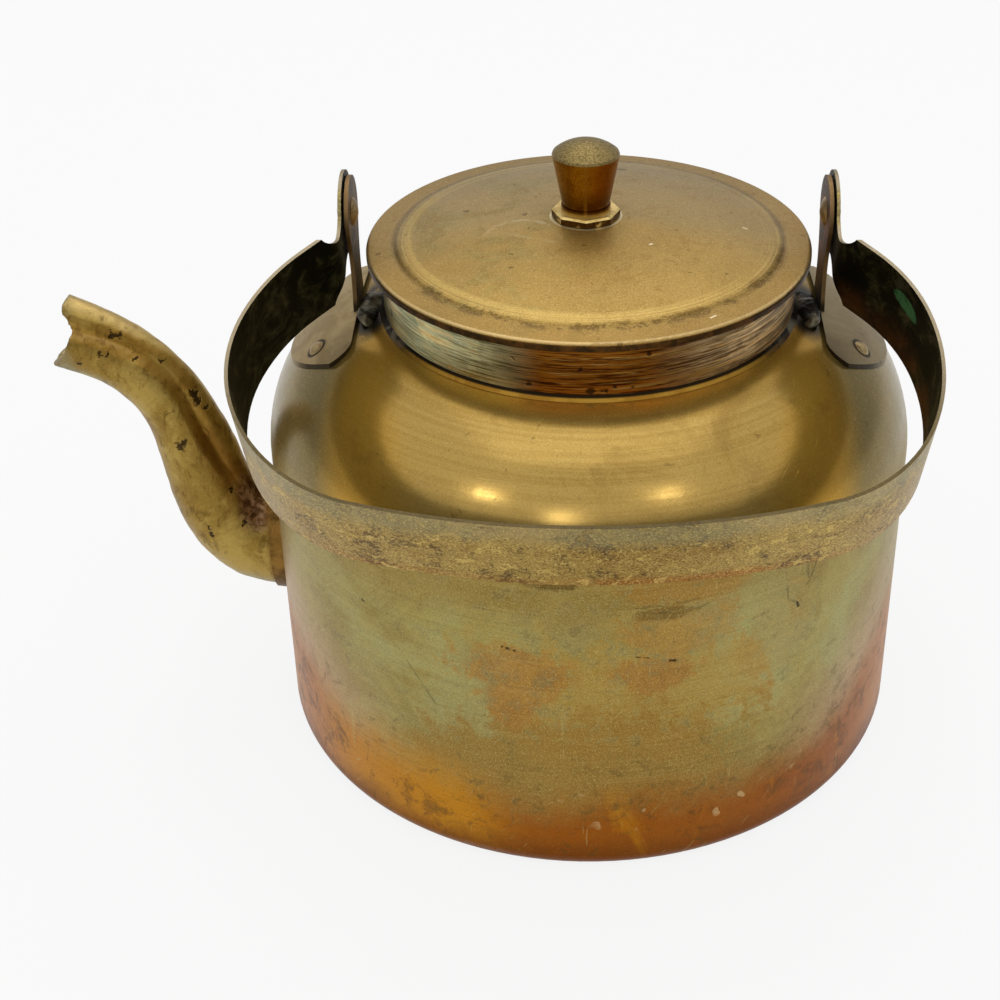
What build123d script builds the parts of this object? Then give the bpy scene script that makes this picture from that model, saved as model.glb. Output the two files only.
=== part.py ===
from build123d import *
from math import acos, cos, degrees, hypot, radians, sin, sqrt, tan
import os

# A brass tea kettle. Millimetres, +Z up, origin at the centre of the flat base.
# The spout points along -X and the bail hangs down at the front, -Y.

# Pot: one spun shell, nearly straight wall, round shoulder
foot_radius = 99.8
foot_corner = 5.1
shoulder_radius = 98.7
shoulder_height = 95.2
shoulder_curve = 43.6
pot_sheet = 1.2

# Neck collar soldered into the mouth of the pot
collar_radius = 61.0
collar_sheet = 1.2
collar_rise = 17.8
collar_tuck = 2.5
collar_bead = 1.5

# Lid: a shallow dome with a flat band and a turned-down edge
lid_overhang = 4.1
lid_sheet = 1.0
lid_edge_depth = 2.4
lid_edge_inner = 0.1
lid_band = 8.1
lid_band_rise = 0.8
lid_dome_rise = 6.7
plug_depth = 8.0
plug_sheet = 0.9

# Knob, its cut washer, the stud that holds it and what is under the lid
washer_across = 20.0
washer_sides = 8
washer_thick = 2.2
washer_edge_cut = 0.55
knob_off_centre = 0.9
knob_foot_radius = 7.2
knob_foot_height = 1.6
knob_neck_radius = 6.85
knob_top_radius = 9.75
knob_cone_height = 14.8
knob_crown = 4.1
knob_lip = 0.7
knob_lip_in = 0.3
stud_radius = 2.0
stud_in_knob = 9.0
stud_below_nut = 1.5
under_washer_radius = 6.0
under_washer_thick = 0.8
nut_across_flats = 7.0
nut_sides = 6
nut_thick = 3.2

# Ears: sheet lugs with a wide rounded foot on the shoulder and a waisted upright
ear_sheet = 1.2
ear_head_radius = 10.5
ear_waist_half = 6.5
ear_waist_height = 7.6
ear_base_half = 9.0
ear_foot_reach = 22.0
ear_foot_half = 30.0
ear_foot_curve = 36.2
ear_foot_corner = 6.0
pivot_rise = 27.6
pivot_lid_gap = 1.9

# Rivets: two through each ear foot, one pivot through each ear head
foot_rivet_out = 10.7
foot_rivet_side = 18.3
foot_rivet_shank = 1.6
foot_rivet_head = 2.6
foot_rivet_dome = 1.3
pivot_shank = 2.5
pivot_head = 4.3
pivot_dome = 1.5

# Bail: a flat strap with round scalloped ends, bent by hand and bowed a little
# more on the spout side
strap_width = 29.0
strap_sheet = 1.0
strap_head_radius = 12.0
strap_droop = 24.8
strap_scallop_length = 23.0
strap_scallop_waist = 8.0
strap_spout_bow = 24.6
strap_back_bow = 23.3
strap_bend_round = 6.0
strap_straight = 19.2
strap_flare_out = 8.0
strap_flare_run = 7.8
strap_flank_start = 48.0
strap_flank_in = 2.9
strap_corner_start = 32.5
strap_corner_in = 4.6
strap_corner_wide = 33.4
strap_front_curve = 256.0

# Spout: its root section, how far it stands out from the wall and how high it goes
spout_wall = 1.8
spout_root_height = 50.3
spout_root_half_height = 17.6
spout_root_half_width = 14.0
spout_reach = 68.75
spout_rise = 79.7
spout_hole_half_width = 11.5
spout_hole_half_height = 14.5
spout_bead = 1.0
spout_bead_length = 3.5

# Spout mouth: the upper lip's place from the spout's tip; then, from that lip, the
# notch worn at the creases and the longer lower lip
lip_short = 10.6
lip_above_tip = 7.5
lip_depth = 2.5
lip_slant = 33.0
notch_in = 2.4
notch_drop = 7.1
hollow_out = 0.7
hollow_drop = 14.1
beak_out = 7.7
beak_drop = 21.9

# Spout sections from root to tip: shares of the reach and the rise, the slope in
# degrees, and shares of the root's half height and half width
spout_sections = [
    (-0.105, 0.000, 6, 1.000, 1.000),
    (0.070, 0.021, 20, 0.966, 0.986),
    (0.214, 0.090, 46, 0.886, 0.929),
    (0.302, 0.216, 68, 0.773, 0.871),
    (0.344, 0.365, 77, 0.716, 0.843),
    (0.377, 0.498, 75, 0.659, 0.786),
    (0.436, 0.649, 66, 0.602, 0.743),
    (0.517, 0.764, 51, 0.597, 0.729),
    (0.631, 0.857, 34, 0.608, 0.729),
    (0.782, 0.932, 23, 0.636, 0.743),
    (1.000, 1.000, 17, 0.659, 0.757),
]

# Unit section: a wide lower lobe and a narrow upper one, meeting in two creases
lower_lobe_share = 0.91
lower_centre_share = -0.10
upper_lobe_share = 0.59
upper_centre_share = 0.42

# Fits and clearances
seam = 0.05
rest_gap = 0.3
strap_gap = 0.6
pivot_fit = 0.08
plug_fit = 0.4
rivet_relief = 0.1

# Places worked out from the sizes above
shoulder_centre = shoulder_radius - shoulder_curve
mouth_height = shoulder_height + sqrt(shoulder_curve**2 - (collar_radius - shoulder_centre) ** 2)
collar_top = mouth_height + collar_rise
lid_seat = collar_top + rest_gap
lid_radius = collar_radius + lid_overhang
crease_radius = lid_radius - lid_band
crease_height = lid_seat + lid_sheet + lid_band_rise
lid_top = crease_height + lid_dome_rise
pivot_height = mouth_height + pivot_rise
ear_face = lid_radius + pivot_lid_gap + pivot_dome
ear_back = ear_face + ear_sheet
strap_outer = ear_back + strap_gap + strap_sheet
widest = strap_outer + strap_spout_bow
wall_slope = (shoulder_radius - foot_radius) / (shoulder_height - foot_corner)
root_out = foot_radius + wall_slope * (spout_root_height - foot_corner)


# Half outline of the pot, drawn in by an inset for its inner face
def pot_outline(inset):
    curve = shoulder_curve - inset
    arc_size = degrees(acos((collar_radius - shoulder_centre) / curve))
    with BuildSketch(Plane.XZ) as outline:
        with BuildLine():
            floor = Line((0, inset), (foot_radius - foot_corner, inset))
            corner = CenterArc((foot_radius - foot_corner, foot_corner), foot_corner - inset, 270, 90)
            shoulder = CenterArc((shoulder_centre, shoulder_height), curve, 0, arc_size)
            Line(corner @ 1, shoulder @ 0)
            top = Line(shoulder @ 1, (0, (shoulder @ 1).Y))
            Line(top @ 1, floor @ 0)
        make_face()
    return outline.sketch


# Places on the shoulder where a foot rivet goes, with the rivet's sketch plane
def foot_rivet_plane(side, front):
    x = side * (ear_face + foot_rivet_out)
    y = -front * foot_rivet_side
    out = hypot(x, y)
    lean = acos((out - shoulder_centre) / shoulder_curve)
    level = shoulder_height + shoulder_curve * sin(lean)
    normal = Vector(x / out * cos(lean), y / out * cos(lean), sin(lean))
    tangent = Vector(-y / out, x / out, 0)
    origin = Vector(x, y, level) + normal * (seam + ear_sheet)
    return Plane(origin=origin, x_dir=tangent, z_dir=tangent.cross(normal))


# Half outline of a domed rivet: head above the sheets, peened tail below them
def rivet_outline(plane, shank, head, dome, grip):
    with BuildSketch(plane) as outline:
        with BuildLine():
            crown = TangentArc((0, dome), (head, 0), tangent=(1, 0))
            tail = TangentArc((0, -grip - dome), (head, -grip), tangent=(1, 0))
            Polyline(crown @ 1, (shank, 0), (shank, -grip), tail @ 1)
            Line(tail @ 0, crown @ 0)
        make_face()
    return outline.sketch


# Pot shell: spun in one piece, with the mouth, the spout hole and rivet holes
spout_root_plane = Plane(origin=(-root_out, 0, spout_root_height), x_dir=(0, -1, 0), z_dir=(-1, 0, 0))

with BuildPart() as body_shell:
    revolve(pot_outline(0), axis=Axis.Z)
    revolve(pot_outline(pot_sheet), axis=Axis.Z, mode=Mode.SUBTRACT)
    with BuildSketch(Plane.XY.offset(shoulder_height)):
        Circle(collar_radius + seam)
    extrude(amount=mouth_height, mode=Mode.SUBTRACT)
    with BuildSketch(spout_root_plane):
        Ellipse(spout_hole_half_width, spout_hole_half_height)
    extrude(amount=foot_radius / 2, both=True, mode=Mode.SUBTRACT)
    for side in (-1, 1):
        for front in (-1, 1):
            rivet_plane = foot_rivet_plane(side, front)
            with BuildSketch(Plane(rivet_plane.origin, z_dir=rivet_plane.y_dir)):
                Circle(foot_rivet_shank + seam)
            extrude(amount=shoulder_curve / 2, both=True, mode=Mode.SUBTRACT)


# Neck collar: a plain rolled ring, its foot tucked through the mouth
with BuildPart() as neck_collar:
    with BuildSketch(Plane.XY.offset(mouth_height - collar_tuck)):
        Circle(collar_radius)
        Circle(collar_radius - collar_sheet, mode=Mode.SUBTRACT)
    extrude(amount=collar_tuck + collar_rise)


# Solder bead in the corner between the collar and the shoulder
with BuildPart() as collar_solder:
    with BuildSketch(Plane.XZ):
        with BuildLine():
            Polyline(
                (collar_radius, mouth_height - collar_bead),
                (collar_radius + collar_bead, mouth_height - collar_bead),
                (collar_radius + collar_bead, mouth_height - seam),
                (collar_radius, mouth_height + collar_bead),
                close=True,
            )
        make_face()
    revolve(axis=Axis.Z)
    revolve(pot_outline(0), axis=Axis.Z, mode=Mode.SUBTRACT)
    with BuildSketch(Plane.XY.offset(mouth_height - 2 * collar_bead)):
        Circle(collar_radius + seam)
    extrude(amount=2 * collar_bead, mode=Mode.SUBTRACT)


# Angles at which the two lobes of the unit section meet
lobe_gap = upper_centre_share - lower_centre_share
crease_above = (lower_lobe_share**2 - upper_lobe_share**2 + lobe_gap**2) / (2 * lobe_gap)
lower_angle = degrees(acos(crease_above / lower_lobe_share))
upper_angle = degrees(acos((crease_above - lobe_gap) / upper_lobe_share))


# One section of the spout, drawn in by an inset for the bore
def spout_section(out, up, slope, height_share, width_share, inset):
    centre = (-root_out - out * spout_reach, 0, spout_root_height + up * spout_rise)
    axis = (-cos(radians(slope)), 0, sin(radians(slope)))
    wide = width_share * spout_root_half_width - inset
    tall = height_share * spout_root_half_height - inset
    with BuildSketch(Plane(origin=centre, x_dir=(0, -1, 0), z_dir=axis)) as section:
        with BuildLine():
            EllipticalCenterArc(
                (0, upper_centre_share * tall), upper_lobe_share * wide, upper_lobe_share * tall,
                start_angle=90 - upper_angle, arc_size=2 * upper_angle,
            )
            EllipticalCenterArc(
                (0, lower_centre_share * tall), lower_lobe_share * wide, lower_lobe_share * tall,
                start_angle=90 + lower_angle, arc_size=360 - 2 * lower_angle,
            )
        make_face()
    return section.sketch


# The whole spout as a solid, from inside the pot's wall to past the mouth
def spout_form(inset):
    with BuildPart() as form:
        loft([spout_section(*row, inset) for row in spout_sections])
    return form.part


spout_solid = spout_form(0)
spout_bore = spout_form(spout_wall)
spout_collar = spout_form(-spout_bead)

# Spout: cast tube, its root cut to the wall and its worn mouth notched
lip = (-root_out - spout_reach + lip_short, spout_root_height + spout_rise + lip_above_tip)
notch = (lip[0] + notch_in, lip[1] - notch_drop)
hollow = (lip[0] - hollow_out, lip[1] - hollow_drop)
beak = (lip[0] - beak_out, lip[1] - beak_drop)
past_tip = -root_out - 2 * spout_reach
above_tip = spout_root_height + 2 * spout_rise
slant_run = (above_tip - lip[1]) / tan(radians(lip_slant))

with BuildPart() as spout:
    add(spout_solid)
    add(spout_bore, mode=Mode.SUBTRACT)
    revolve(pot_outline(-seam), axis=Axis.Z, mode=Mode.SUBTRACT)
    with BuildSketch(Plane.XZ):
        with BuildLine():
            Polyline((lip[0] + slant_run, above_tip), lip, (lip[0], lip[1] - lip_depth), notch)
            ThreePointArc(notch, hollow, beak)
            Polyline(
                beak, (beak[0], spout_root_height), (past_tip, spout_root_height),
                (past_tip, above_tip), (lip[0] + slant_run, above_tip),
            )
        make_face()
    extrude(amount=2 * spout_root_half_width, both=True, mode=Mode.SUBTRACT)


# Solder fillet round the root of the spout
with BuildPart() as spout_solder:
    add(spout_collar)
    with BuildSketch(Plane.YZ.offset(-root_out - spout_bead_length)):
        Rectangle(4 * spout_root_half_width, 2 * spout_rise)
    extrude(amount=foot_radius, mode=Mode.INTERSECT)
    add(spout_solid, mode=Mode.SUBTRACT)
    revolve(pot_outline(-seam), axis=Axis.Z, mode=Mode.SUBTRACT)


# Ear: wide rounded foot that follows the shoulder, waisted upright with a round head
def make_ear(side):
    upright_foot = mouth_height - collar_tuck - ear_sheet
    head_meet = sqrt(ear_head_radius**2 - (ear_base_half) ** 2)
    with BuildPart() as ear:
        with BuildSketch(Plane.YZ):
            with BuildLine():
                centre = (shoulder_centre, shoulder_height)
                inner = CenterArc(centre, shoulder_curve + seam, 0, 90)
                outer = CenterArc(centre, shoulder_curve + seam + ear_sheet, 0, 90)
                Line(inner @ 0, outer @ 0)
                Line(inner @ 1, outer @ 1)
            make_face()
        revolve(axis=Axis.Z)
        with BuildSketch(Plane.XY):
            with Locations((side * (ear_face + ear_foot_reach - ear_foot_curve), 0)):
                Circle(ear_foot_curve)
            with Locations((side * (ear_face + ear_foot_reach / 2), 0)):
                RectangleRounded(ear_foot_reach, 2 * ear_foot_half, ear_foot_corner, mode=Mode.INTERSECT)
        extrude(amount=pivot_height, mode=Mode.INTERSECT)
        with BuildSketch(Plane.YZ.offset(side * ear_face)):
            with BuildLine():
                head = ThreePointArc(
                    (-ear_base_half, pivot_height - head_meet),
                    (0, pivot_height + ear_head_radius),
                    (ear_base_half, pivot_height - head_meet),
                )
                right = ThreePointArc(
                    head @ 1,
                    (ear_waist_half, mouth_height + ear_waist_height),
                    (ear_base_half, upright_foot),
                )
                left = ThreePointArc(
                    head @ 0,
                    (-ear_waist_half, mouth_height + ear_waist_height),
                    (-ear_base_half, upright_foot),
                )
                Line(right @ 1, left @ 1)
            make_face()
        extrude(amount=side * ear_sheet)
        revolve(pot_outline(-seam), axis=Axis.Z, mode=Mode.SUBTRACT)
        with BuildSketch(Plane.YZ):
            with Locations((0, pivot_height)):
                Circle(pivot_shank + seam)
        extrude(amount=side * (ear_face + ear_foot_reach), mode=Mode.SUBTRACT)
        for front in (-1, 1):
            rivet_plane = foot_rivet_plane(side, front)
            with BuildSketch(Plane(rivet_plane.origin, z_dir=rivet_plane.y_dir)):
                Circle(foot_rivet_shank + seam)
            extrude(amount=ear_foot_reach / 2, both=True, mode=Mode.SUBTRACT)
    return ear.part


# Foot rivet through the ear's foot and the pot
def make_foot_rivet(side, front):
    plane = foot_rivet_plane(side, front)
    grip = ear_sheet + seam + pot_sheet + rivet_relief
    outline = rivet_outline(plane, foot_rivet_shank, foot_rivet_head, foot_rivet_dome, grip)
    with BuildPart() as rivet:
        revolve(outline, axis=Axis(plane.origin, plane.y_dir))
    return rivet.part


# Pivot rivet: head on the lid's side of the ear, tail outside the strap
def make_pivot_rivet(side):
    plane = Plane(origin=(side * ear_face, 0, pivot_height), x_dir=(0, 0, 1), z_dir=(0, -side, 0))
    grip = ear_sheet + strap_gap + strap_sheet + rest_gap
    outline = rivet_outline(plane, pivot_shank, pivot_head, pivot_dome, grip)
    with BuildPart() as rivet:
        revolve(outline, axis=Axis(plane.origin, plane.y_dir))
    return rivet.part


# Distance from the pivot to the strap's inner face at the front, found where the
# strap's lower edge comes one rest gap short of the shoulder
droop = radians(strap_droop)
edge_out = -strap_width / 2 * sin(droop) - shoulder_centre
edge_up = pivot_height - strap_width / 2 * cos(droop) - shoulder_height
half_sum = edge_out * cos(droop) - edge_up * sin(droop)
stop_radius = shoulder_curve + rest_gap
strap_reach = -half_sum + sqrt(half_sum**2 - edge_out**2 - edge_up**2 + stop_radius**2) + strap_sheet
loop_plane = Plane(origin=(0, 0, pivot_height), x_dir=(1, 0, 0), z_dir=(0, -sin(droop), cos(droop)))
side_plane = Plane(
    origin=(0, 0, pivot_height), x_dir=(0, -cos(droop), -sin(droop)), z_dir=(-1, 0, 0)
)

# Half of the strap's plan, with its bow; the flat head is nearest the pivot
def strap_half(bow):
    out = strap_outer + bow
    front_half = out - strap_corner_wide
    front_sag = strap_front_curve - sqrt(strap_front_curve**2 - front_half**2)
    with BuildSketch() as half:
        with BuildLine():
            root = FilletPolyline(
                (strap_outer, strap_head_radius), (strap_outer, -strap_straight),
                (strap_outer + strap_flare_out, -strap_straight - strap_flare_run),
                radius=strap_bend_round,
            )
            flare = TangentArc(root @ 1, (out - strap_flank_in, -strap_flank_start), tangent=root % 1)
            flank = TangentArc(
                flare @ 1, (out - strap_corner_in, strap_corner_start - strap_reach), tangent=flare % 1
            )
            corner = TangentArc(flank @ 1, (front_half, front_sag - strap_reach), tangent=flank % 1)
            RadiusArc(corner @ 1, (0, -strap_reach), strap_front_curve)
            offset(amount=-strap_sheet, side=Side.RIGHT)
        make_face()
    return half.sketch


# Bail: strap bent round the front, its ends cut to round scalloped heads
with BuildPart() as bail_strap:
    with BuildSketch(loop_plane):
        add(strap_half(strap_back_bow))
        mirror(strap_half(strap_spout_bow), about=Plane.YZ)
    extrude(amount=strap_width / 2, both=True)
    with BuildSketch(side_plane):
        with BuildLine():
            neck = sqrt(strap_head_radius**2 - strap_scallop_waist**2)
            half_width = strap_width / 2
            past_front = strap_reach + strap_width
            head = ThreePointArc(
                (neck, strap_scallop_waist), (-strap_head_radius, 0), (neck, -strap_scallop_waist)
            )
            upper = ThreePointArc(
                head @ 0, (2 * neck, strap_scallop_waist), (strap_scallop_length, half_width)
            )
            lower = ThreePointArc(
                head @ 1, (2 * neck, -strap_scallop_waist), (strap_scallop_length, -half_width)
            )
            Polyline(upper @ 1, (past_front, half_width), (past_front, -half_width), lower @ 1)
        make_face()
    extrude(amount=2 * widest, both=True, mode=Mode.INTERSECT)
    with BuildSketch(Plane.YZ):
        with Locations((0, pivot_height)):
            Circle(pivot_shank + pivot_fit)
    extrude(amount=2 * widest, both=True, mode=Mode.SUBTRACT)


# Half outline of the lid's upper face, lowered and drawn in by an inset
def lid_outline(inset):
    with BuildSketch(Plane.XZ) as outline:
        with BuildLine():
            crease = (crease_radius, crease_height - inset)
            rim = lid_radius - inset
            level = lid_seat + lid_sheet - inset
            edge = (rim, level - lid_edge_depth)
            dome = TangentArc((0, lid_top - inset), crease, tangent=(1, 0))
            FilletPolyline(crease, (rim, level), edge, radius=lid_edge_inner + lid_sheet - inset)
            Polyline(edge, (0, level - lid_edge_depth), dome @ 0)
        make_face()
    return outline.sketch


# Lid disc: pressed dome, its edge turned down outside the collar
with BuildPart() as lid_disc:
    revolve(lid_outline(0), axis=Axis.Z)
    revolve(lid_outline(lid_sheet), axis=Axis.Z, mode=Mode.SUBTRACT)
    with BuildSketch(Plane(origin=(-knob_off_centre, 0, lid_seat))):
        Circle(stud_radius + seam)
    extrude(amount=lid_top, mode=Mode.SUBTRACT)


# Plug ring under the lid that drops inside the collar
plug_radius = collar_radius - collar_sheet - plug_fit

with BuildPart() as lid_plug_ring:
    with BuildSketch(Plane.XY.offset(lid_seat - plug_depth)):
        Circle(plug_radius)
        Circle(plug_radius - plug_sheet, mode=Mode.SUBTRACT)
    extrude(until=Until.NEXT, target=lid_disc.part)


# Cut washer between the knob and the lid; the knob's hole is a little off centre
knob_base = lid_top + washer_thick

with BuildPart() as knob_washer:
    with BuildSketch(Plane(origin=(-knob_off_centre, 0, lid_top))):
        RegularPolygon(washer_across / 2, washer_sides)
        Circle(stud_radius + seam, mode=Mode.SUBTRACT)
    extrude(amount=washer_thick)
    chamfer(knob_washer.edges().group_by(Axis.Z)[-1].filter_by(GeomType.LINE), washer_edge_cut)


# Knob: turned foot, flared cone and a low crown, drilled for the stud
with BuildPart() as knob:
    with BuildSketch(Plane(origin=(-knob_off_centre, 0, knob_base), x_dir=(1, 0, 0), z_dir=(0, -1, 0))):
        with BuildLine():
            cone_top = knob_foot_height + knob_cone_height
            crown = TangentArc(
                (0, cone_top + knob_crown), (knob_top_radius - knob_lip_in, cone_top + knob_lip),
                tangent=(1, 0),
            )
            Polyline(
                crown @ 0, (0, 0), (knob_foot_radius, 0), (knob_foot_radius, knob_foot_height),
                (knob_neck_radius, knob_foot_height), (knob_top_radius, cone_top), crown @ 1,
            )
        make_face()
    revolve(axis=Axis((-knob_off_centre, 0, 0), (0, 0, 1)))
    with BuildSketch(Plane(origin=(-knob_off_centre, 0, knob_base))):
        Circle(stud_radius + seam)
    extrude(amount=stud_in_knob + seam, mode=Mode.SUBTRACT)


# Washer and nut under the lid
under_washer_top = lid_top - lid_sheet - rivet_relief
nut_top = under_washer_top - under_washer_thick
nut_foot = nut_top - nut_thick

with BuildPart() as under_washer:
    with BuildSketch(Plane(origin=(-knob_off_centre, 0, nut_top))):
        Circle(under_washer_radius)
        Circle(stud_radius + seam, mode=Mode.SUBTRACT)
    extrude(amount=under_washer_thick)

with BuildPart() as knob_nut:
    with BuildSketch(Plane(origin=(-knob_off_centre, 0, nut_foot))):
        RegularPolygon(nut_across_flats / 2, nut_sides, major_radius=False)
        Circle(stud_radius + seam, mode=Mode.SUBTRACT)
    extrude(amount=nut_thick)


# Stud through the lid, from inside the knob to below the nut
stud_foot = nut_foot - stud_below_nut

with BuildPart() as knob_stud:
    with BuildSketch(Plane(origin=(-knob_off_centre, 0, stud_foot))):
        Circle(stud_radius)
    extrude(amount=knob_base + stud_in_knob - stud_foot)


pieces = {
    "body_shell": body_shell.part,
    "neck_collar": neck_collar.part,
    "collar_solder": collar_solder.part,
    "spout": spout.part,
    "spout_solder": spout_solder.part,
    "ear_spout_side": make_ear(-1),
    "ear_back_side": make_ear(1),
    "ear_rivet_spout_front": make_foot_rivet(-1, 1),
    "ear_rivet_spout_rear": make_foot_rivet(-1, -1),
    "ear_rivet_back_front": make_foot_rivet(1, 1),
    "ear_rivet_back_rear": make_foot_rivet(1, -1),
    "pivot_rivet_spout_side": make_pivot_rivet(-1),
    "pivot_rivet_back_side": make_pivot_rivet(1),
    "bail_strap": bail_strap.part,
    "lid_disc": lid_disc.part,
    "lid_plug_ring": lid_plug_ring.part,
    "knob_washer": knob_washer.part,
    "knob": knob.part,
    "knob_stud": knob_stud.part,
    "under_washer": under_washer.part,
    "knob_nut": knob_nut.part,
}

os.makedirs("parts", exist_ok=True)
for name, piece in pieces.items():
    piece.label = name
    export_step(piece, f"parts/{name}.step")
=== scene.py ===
import math

import bpy
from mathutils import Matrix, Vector


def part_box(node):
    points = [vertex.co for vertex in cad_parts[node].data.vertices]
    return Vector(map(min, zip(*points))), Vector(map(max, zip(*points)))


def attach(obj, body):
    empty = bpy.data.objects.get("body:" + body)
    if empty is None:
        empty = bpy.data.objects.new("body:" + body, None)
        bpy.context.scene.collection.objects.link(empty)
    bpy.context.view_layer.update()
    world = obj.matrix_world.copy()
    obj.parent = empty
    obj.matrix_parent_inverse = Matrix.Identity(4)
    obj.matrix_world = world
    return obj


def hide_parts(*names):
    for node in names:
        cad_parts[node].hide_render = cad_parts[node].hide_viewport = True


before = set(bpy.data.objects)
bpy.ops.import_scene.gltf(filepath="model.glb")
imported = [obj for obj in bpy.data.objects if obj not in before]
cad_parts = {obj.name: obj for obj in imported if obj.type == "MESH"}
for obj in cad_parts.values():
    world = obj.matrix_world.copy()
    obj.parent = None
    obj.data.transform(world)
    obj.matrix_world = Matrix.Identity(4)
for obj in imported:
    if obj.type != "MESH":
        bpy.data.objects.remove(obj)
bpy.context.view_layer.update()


# The pot is one sheet of brass, spun into a shell with a round shoulder. The shoulder is
# rubbed bright round the neck; the wall is brushed and dulled to olive, with old
# scratches and rubbed patches, and the foot is tinted copper and orange by the stove.
shoulder_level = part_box("body_shell")[1].z - 0.044
wall_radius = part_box("body_shell")[1].x


class Wire:
    """One socket in a material. Arithmetic on it adds Math nodes."""

    def __init__(self, tree, socket=None):
        self.tree = tree
        self.socket = socket

    def node(self, kind, settings=None, values=None, output=0):
        made = self.tree.nodes.new("ShaderNode" + kind)
        for name, value in (settings or {}).items():
            setattr(made, name, value)
        for name, value in (values or {}).items():
            if isinstance(value, Wire):
                self.tree.links.new(value.socket, made.inputs[name])
            else:
                made.inputs[name].default_value = value
        return Wire(self.tree, made.outputs[output] if made.outputs else None)

    def maths(self, operation, first, second=0.0):
        return self.node("Math", {"operation": operation}, {0: first, 1: second})

    def __add__(self, other):
        return self.maths("ADD", self, other)

    def __radd__(self, other):
        return self.maths("ADD", other, self)

    def __sub__(self, other):
        return self.maths("SUBTRACT", self, other)

    def __rsub__(self, other):
        return self.maths("SUBTRACT", other, self)

    def __mul__(self, other):
        return self.maths("MULTIPLY", self, other)

    def __rmul__(self, other):
        return self.maths("MULTIPLY", other, self)

    def __truediv__(self, other):
        return self.maths("DIVIDE", self, other)

    def __pow__(self, power):
        return self.maths("POWER", self, power)

    def __abs__(self):
        return self.maths("ABSOLUTE", self)


def colour(red, green, blue):
    """A colour written as on a paint card, 0 to 255, in the linear form that shaders use."""
    steps = [value / 255 for value in (red, green, blue)]
    return [s / 12.92 if s < 0.04 else ((s + 0.055) / 1.055) ** 2.4 for s in steps] + [1.0]


def new_finish(name):
    """A bare material, and a wire from which its nodes are added."""
    material = bpy.data.materials.new(name)
    material.use_nodes = True
    material.node_tree.nodes.clear()
    return material, Wire(material.node_tree)


def spread(value, low, high):
    """0 at low, 1 at high, with a soft start and end."""
    settings = {"interpolation_type": "SMOOTHSTEP"}
    return value.node("MapRange", settings, {"Value": value, "From Min": low, "From Max": high})


def noise(spot, scale, detail, rough=0.55, warp=0.0):
    """Clouds of values about 0.5; the larger the scale, the smaller the clouds."""
    values = {"Vector": spot, "Scale": scale, "Detail": detail}
    values.update({"Roughness": rough, "Distortion": warp})
    return spot.node("TexNoise", None, values)


def stretch(spot, by):
    return spot.node("VectorMath", {"operation": "MULTIPLY"}, {0: spot, 1: by})


def shift(spot, by):
    return spot.node("VectorMath", {"operation": "ADD"}, {0: spot, 1: by})


def over(under, upper, mask):
    """One colour laid over another where the mask is 1."""
    return mask.node("Mix", {"data_type": "RGBA"}, {0: mask, 6: under, 7: upper}, 2)


def either(first, second):
    return first.maths("MAXIMUM", first, second)


def whereabouts(start):
    """The place on the piece, its x, y and z in metres, how far out it is from the pot's
    axis, and its angle round the axis from the front, in radians."""
    spot = start.node("TexCoord", output=3)
    x, y, z = [spot.node("SeparateXYZ", None, {"Vector": spot}, axis) for axis in range(3)]
    out = (x * x + y * y) ** 0.5
    angle = x.maths("ARCTAN2", x, 0 - y)
    return spot, x, y, z, out, angle


def lathe_marks(start, x, y, along, scale, fine, detail):
    """Fine lines that run round the axis, as a wheel leaves them; along grows across them."""
    spot = start.node("CombineXYZ", None, {"X": x, "Y": y, "Z": along * fine})
    return noise(spot, scale, detail)


def patch(angle, level, at, size, ragged):
    """A patch on the wall, at an angle in degrees and a level, its edge broken by a noise."""
    across = (angle - math.radians(at[0])) * wall_radius / size[0]
    up = (level - at[1]) / size[1]
    return spread((across * across + up * up) ** 0.5 + ragged, 1.15, 0.70)


def stroke(across, up, start, end, width):
    """A mark along a straight line between two places."""
    run, rise = end[0] - start[0], end[1] - start[1]
    length = run * run + rise * rise
    along = ((across - start[0]) * run + (up - start[1]) * rise) / length
    along = along.node("Clamp", None, {"Value": along})
    off_x = across - start[0] - along * run
    off_y = up - start[1] - along * rise
    return spread((off_x * off_x + off_y * off_y) ** 0.5, width, width * 0.35)


def strokes(across, up, marks):
    """Several straight marks as one, each given by its start, its end and its width."""
    joined = None
    for start, end, width in marks:
        mark = stroke(across, up, start, end, width)
        joined = either(joined, mark) if joined else mark
    return joined


def metal(material, start, shade, rough, metallic, relief, depth, gloss=0.2):
    """A metal surface; depth is the relief's height, gloss the shine of what covers it."""
    bump = start.node("Bump", None, {"Strength": 1.0, "Distance": depth, "Height": relief})
    values = {
        "Base Color": shade,
        "Roughness": rough,
        "Metallic": metallic,
        "Specular IOR Level": gloss,
        "Normal": bump,
    }
    shader = start.node("BsdfPrincipled", None, values)
    start.node("OutputMaterial", None, {"Surface": shader})
    return material


def dress(material, *names):
    for name in names:
        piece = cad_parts[name]
        piece.data.materials.clear()
        piece.data.materials.append(material)


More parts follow.
